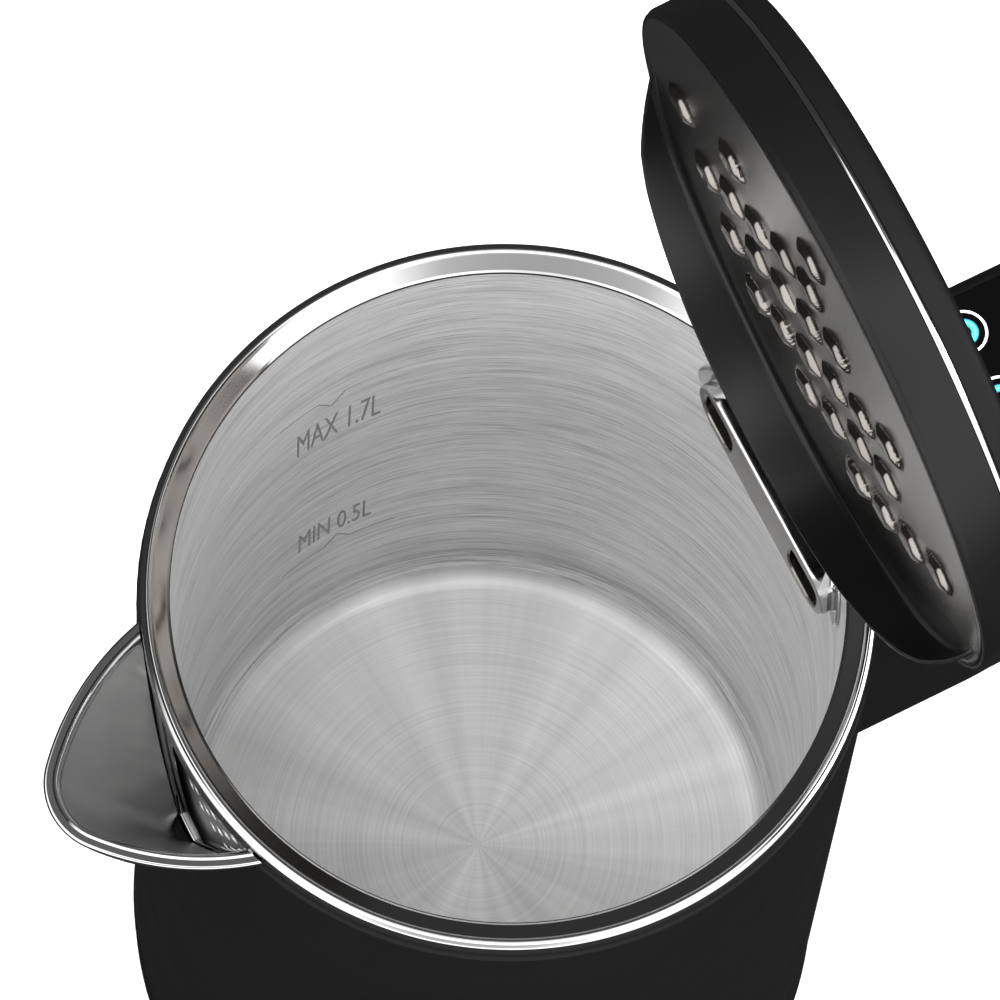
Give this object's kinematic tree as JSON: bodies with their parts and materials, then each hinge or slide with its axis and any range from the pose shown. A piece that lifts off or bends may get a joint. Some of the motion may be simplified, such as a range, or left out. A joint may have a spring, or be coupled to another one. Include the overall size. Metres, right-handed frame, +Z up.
{
  "type": "electric kettle",
  "caption": "Cordless electric kettle on a round power base: open hinged lid, steel vessel with level marks, pouring spout and a loop handle with a touch panel.",
  "frame": {"origin": "centre of the power base's underside, on the kettle's axis", "axes": "+Z up; the spout points along -X; the handle and the lid hinge are at +X; the hinge pin runs along Y"},
  "size_m": [0.229, 0.1496, 0.3788],
  "materials": {
    "shell_black": "fine matt black coating",
    "base_black": "matt black moulded plastic",
    "handle_black": "matt black moulded plastic",
    "inner_plastic": "plain moulded plastic, out of sight",
    "vessel_steel": "stainless steel, brushed round the wall",
    "polished_steel": "stainless steel, mirror polished",
    "pressed_steel": "stainless steel sheet, pressed, satin",
    "trim_chrome": "polished trim",
    "panel_gloss": "gloss black touch surface",
    "ring_white": "white printed ring, lit from behind",
    "ring_blue": "blue-green light ring",
    "rubber_black": "black rubber",
    "gasket_black": "black silicone",
    "aluminium_plate": "cast aluminium",
    "element_steel": "steel-sheathed heating element",
    "brass_contact": "brass contact",
    "screw_steel": "zinc-plated steel",
    "board_green": "circuit board",
    "wire_sleeve": "heat-proof wire sleeve"
  },
  "bodies": {
    "power_base": {"base_shell": "base_black", "base_plate": "base_black", "base_feet": "rubber_black", "base_screws": "screw_steel", "base_connector": "base_black", "contact_ring": "brass_contact", "contact_sleeve": "brass_contact", "terminal_block": "inner_plastic", "cord_gland": "rubber_black"},
    "turning_ring": {"swivel_ring": "inner_plastic"},
    "jug": {"outer_shell": "shell_black", "vessel": "vessel_steel", "rim_gasket": "gasket_black", "rim_ring": "polished_steel", "spout_shell": "shell_black", "spout_liner": "polished_steel", "vent_housing": "polished_steel", "steam_duct": "inner_plastic", "hinge_block": "handle_black", "hinge_pin": "screw_steel", "heating_plate": "aluminium_plate", "heating_element": "element_steel", "temperature_sensor": "element_steel", "dry_boil_control": "inner_plastic", "jug_connector": "inner_plastic", "jug_base_cover": "base_black", "bottom_frame": "inner_plastic", "jug_screws": "screw_steel", "handle_body": "handle_black", "handle_spine": "handle_black", "handle_screws": "screw_steel", "touch_panel": "panel_gloss", "white_rings": "ring_white", "blue_rings": "ring_blue", "control_board": "board_green", "wire_harness": "wire_sleeve"},
    "lid": {"lid_hinge_arm": "handle_black", "lid_ring": "handle_black", "lid_screws": "screw_steel", "lid_trim_ring": "trim_chrome", "lid_cap": "shell_black", "lid_pan": "pressed_steel"}
  },
  "joints": [
    {"name": "kettle_swivel", "type": "hinge", "parent": "power_base", "child": "turning_ring", "pos_m": [0, 0, 0.019], "axis": [0, 0, 1], "continuous": true},
    {"name": "kettle_lift", "type": "slide", "parent": "turning_ring", "child": "jug", "axis": [0, 0, 1], "range_m": [0, 0.12]},
    {"name": "lid_hinge", "type": "hinge", "parent": "jug", "child": "lid", "pos_m": [0.0645, 0, 0.2492], "axis": [0, 1, 0], "range_deg": [-85, 0]}
  ]
}
